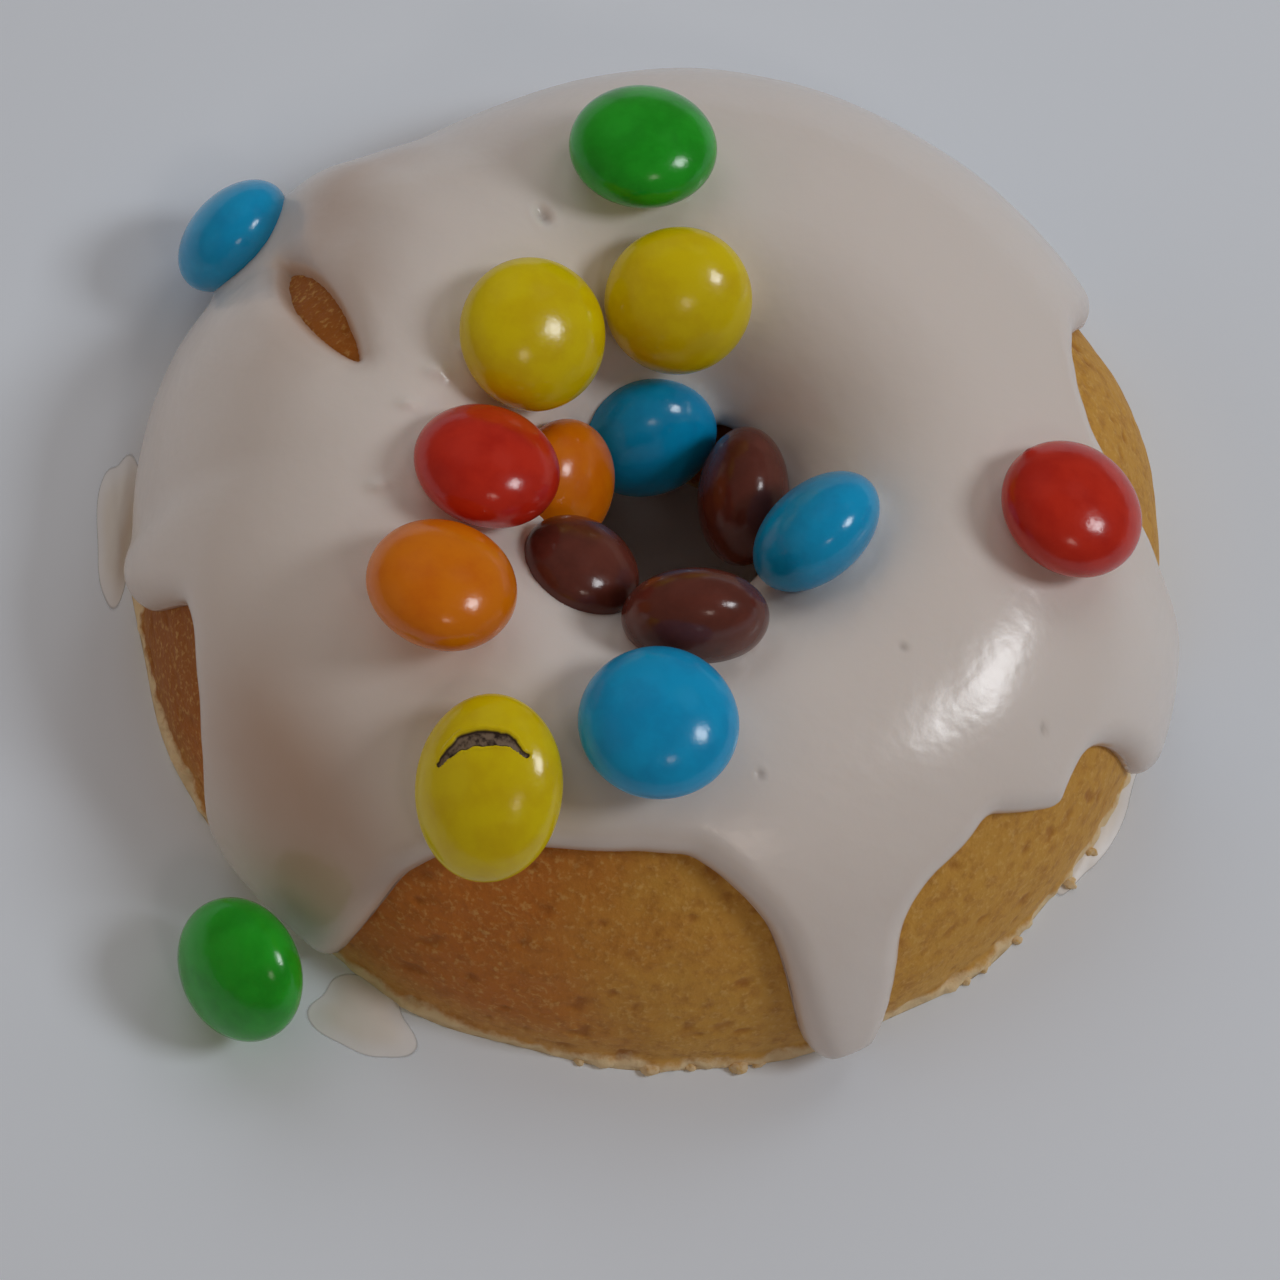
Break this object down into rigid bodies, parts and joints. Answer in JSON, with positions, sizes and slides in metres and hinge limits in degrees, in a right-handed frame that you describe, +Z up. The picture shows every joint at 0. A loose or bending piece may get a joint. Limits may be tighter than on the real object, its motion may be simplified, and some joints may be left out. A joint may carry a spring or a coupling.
{
  "type": "mini doughnut",
  "caption": "Mini ring doughnut of moulded golden cake with off-white poured icing that drips down its sides, topped with sugar-shelled chocolate candies.",
  "frame": {"origin": "under the middle of the whole part's bounding box, on the plane that the cake's flat base rests on; the ring's own axis is at x 0.00035, y 0.00195", "axes": "+Z up along the ring's axis; -Y is the front, where the bare cake shows between two drips; +X is the right"},
  "size_m": [0.0663, 0.0695, 0.0239],
  "materials": {
    "cake": "baked golden-brown cake crust with a fine matt crumb",
    "icing": "set off-white icing, smooth and glossy",
    "sugar_green": "glossy green sugar shell, faintly mottled",
    "sugar_yellow": "glossy yellow sugar shell, faintly mottled",
    "sugar_blue": "glossy blue sugar shell, faintly mottled",
    "sugar_red": "glossy red sugar shell, faintly mottled",
    "sugar_orange": "glossy orange sugar shell, faintly mottled",
    "sugar_brown": "glossy brown sugar shell, faintly mottled"
  },
  "bodies": {
    "root": {"cake": "cake", "icing": "icing", "candy_green_back": "sugar_green", "candy_yellow_back": "sugar_yellow", "candy_yellow_back_left": "sugar_yellow", "candy_red_left": "sugar_red", "candy_orange_left": "sugar_orange", "candy_blue_front": "sugar_blue", "candy_yellow_front": "sugar_yellow", "candy_red_right": "sugar_red", "candy_blue_far_left": "sugar_blue", "candy_blue_right": "sugar_blue", "candy_brown_front": "sugar_brown", "candy_brown_left": "sugar_brown", "candy_orange_hole": "sugar_orange", "candy_blue_hole": "sugar_blue", "candy_brown_hole": "sugar_brown", "candy_green_foot": "sugar_green"}
  },
  "joints": []
}
